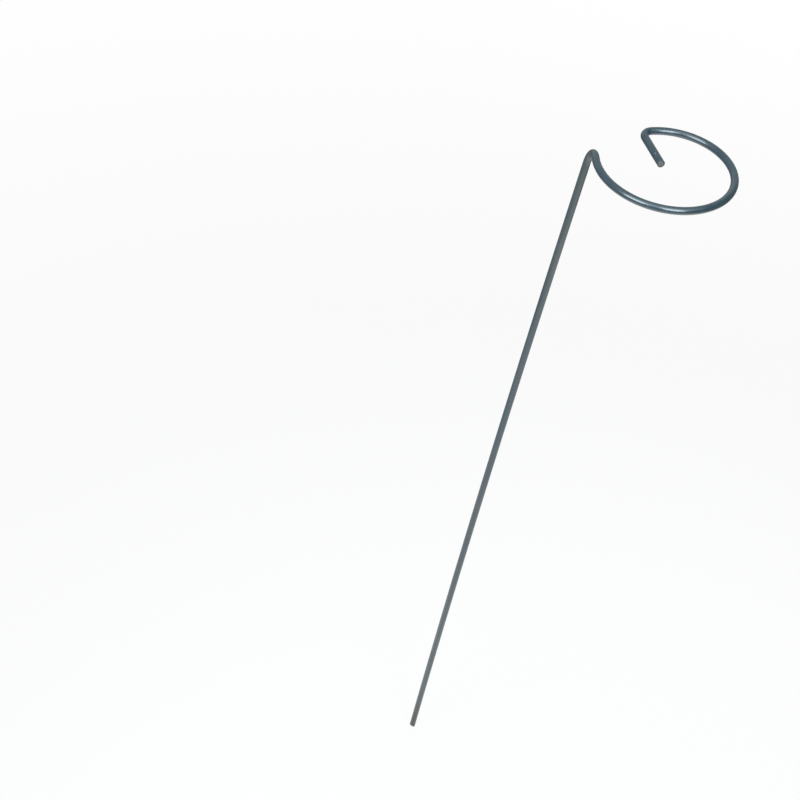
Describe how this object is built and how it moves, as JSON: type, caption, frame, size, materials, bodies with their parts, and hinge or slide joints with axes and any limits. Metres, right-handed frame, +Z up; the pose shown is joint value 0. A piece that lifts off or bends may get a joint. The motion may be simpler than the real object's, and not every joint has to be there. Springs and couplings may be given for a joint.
{
  "type": "plant stake",
  "caption": "Upright stake of plastic-coated steel wire with an open ring and an inward tail at the top, pushed into a pot to hold up a flower stem.",
  "frame": {"origin": "middle of the slanted cut at the ground end of the shaft", "axes": "+Z up along the shaft to the ring, -Y the way the shoulder bends forward, +X from the shaft across the ring"},
  "size_m": [0.0668, 0.061, 0.4585],
  "materials": {
    "coat_plastic": "dark slate green, glossy on the ring and duller along the shaft",
    "core_steel": "drawn steel, bare only on the two cut ends, dull brownish grey"
  },
  "bodies": {
    "root": {"coating": "coat_plastic", "core_wire": "core_steel"}
  },
  "joints": []
}
